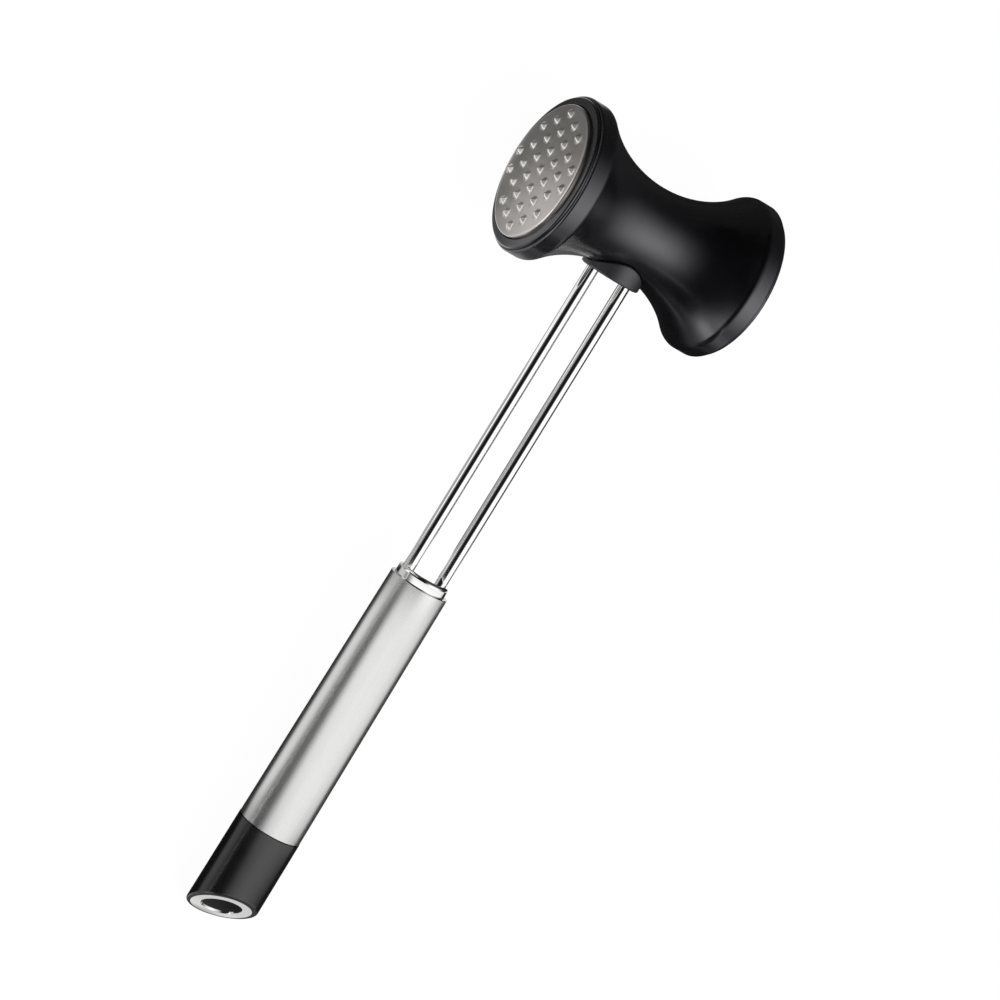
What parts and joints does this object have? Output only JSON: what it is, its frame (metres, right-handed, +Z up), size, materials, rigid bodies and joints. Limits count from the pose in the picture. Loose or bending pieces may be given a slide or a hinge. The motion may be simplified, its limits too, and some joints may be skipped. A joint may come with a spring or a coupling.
{
  "type": "meat tenderizer hammer",
  "caption": "Hammer-type meat tenderizer with a spool-shaped head, a studded and a smooth steel face, twin rods and a tapered steel grip with a ringed hanging hole.",
  "frame": {"origin": "on the ground, under the middle of the box round the tool as it lies on its side", "axes": "+X along the head axis out of the smooth face, +Y from the grip to the head, +Z up"},
  "size_m": [0.0904, 0.3226, 0.0605],
  "materials": {
    "head_plastic": "satin black",
    "grip_plastic": "satin black",
    "plate_steel": "satin",
    "sleeve_steel": "fine brushed",
    "polished_steel": "mirror polished",
    "inner_steel": "machined",
    "inner_plastic": "moulded",
    "seal_rubber": "matte black"
  },
  "bodies": {
    "root": {"head_shell": "head_plastic", "collar": "head_plastic", "end_cap": "grip_plastic", "studded_plate": "plate_steel", "smooth_plate": "plate_steel", "handle_sleeve": "sleeve_steel", "studded_side_rod": "polished_steel", "smooth_side_rod": "polished_steel", "front_plug": "polished_steel", "end_ring": "polished_steel", "head_core": "inner_steel", "studded_plate_stud": "inner_steel", "smooth_plate_stud": "inner_steel", "rod_set_screws": "inner_steel", "tie_plate": "inner_steel", "rod_washers": "inner_steel", "rod_nuts": "inner_steel", "cap_screw": "inner_steel", "handle_carrier": "inner_plastic", "studded_plate_seal": "seal_rubber", "smooth_plate_seal": "seal_rubber", "plug_seal": "seal_rubber", "cap_seal": "seal_rubber"}
  },
  "joints": []
}
